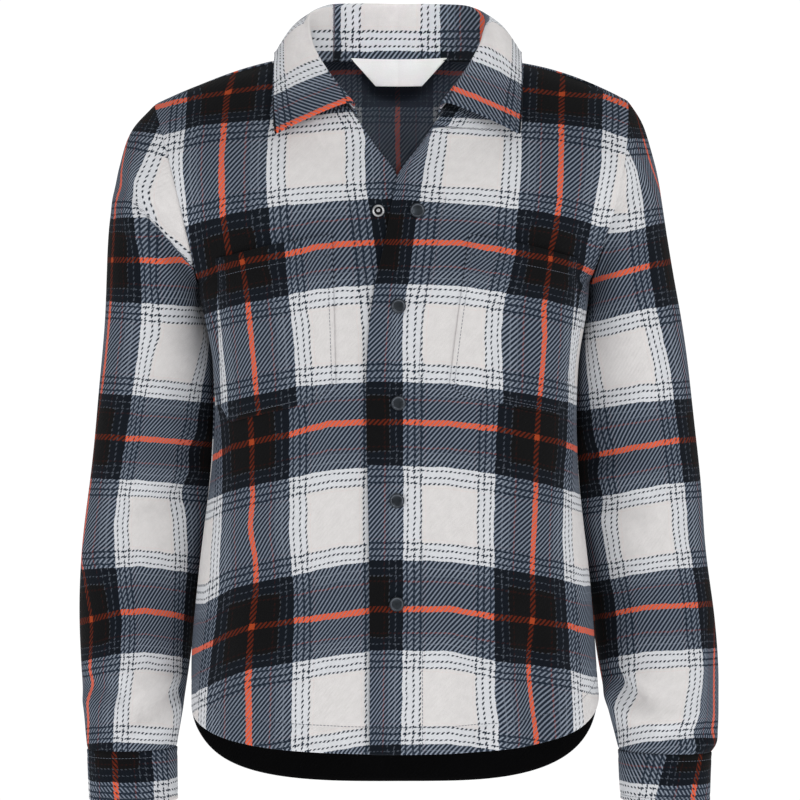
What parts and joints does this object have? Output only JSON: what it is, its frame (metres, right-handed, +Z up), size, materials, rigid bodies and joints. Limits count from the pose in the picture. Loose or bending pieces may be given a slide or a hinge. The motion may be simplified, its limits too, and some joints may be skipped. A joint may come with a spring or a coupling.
{
  "type": "plaid shirt jacket",
  "caption": "Plaid flannel shirt jacket, filled out as if worn, open at neck, hem and cuffs, with fold-down collar, patch pockets and snap front.",
  "frame": {"origin": "middle of the neck base, level with the neck ends of the shoulder seams, where the wearer's shoulders hold the jacket", "axes": "+Z up, the fronts face -Y, +X to the viewer's right, which is the wearer's left"},
  "size_m": [0.6723, 0.2598, 0.8386],
  "materials": {
    "plaid_flannel": "brushed twill, woven plaid of white, navy, black, grey-blue and orange yarns",
    "gunmetal": "dark gunmetal snap cap, satin",
    "stud_metal": "bright nickel snap stud",
    "label_cloth": "plain white woven tape"
  },
  "bodies": {
    "root": {"back": "plaid_flannel", "front_left": "plaid_flannel", "front_right": "plaid_flannel", "sleeve_left": "plaid_flannel", "sleeve_right": "plaid_flannel", "cuff_left": "plaid_flannel", "cuff_right": "plaid_flannel", "collar": "plaid_flannel", "pocket_left": "plaid_flannel", "pocket_right": "plaid_flannel", "label": "label_cloth", "snap_top": "gunmetal", "snap_second": "gunmetal", "snap_third": "gunmetal", "snap_fourth": "gunmetal", "snap_hem": "gunmetal", "snap_stud": "stud_metal", "cuff_snap_left": "gunmetal", "cuff_snap_right": "gunmetal"}
  },
  "joints": []
}
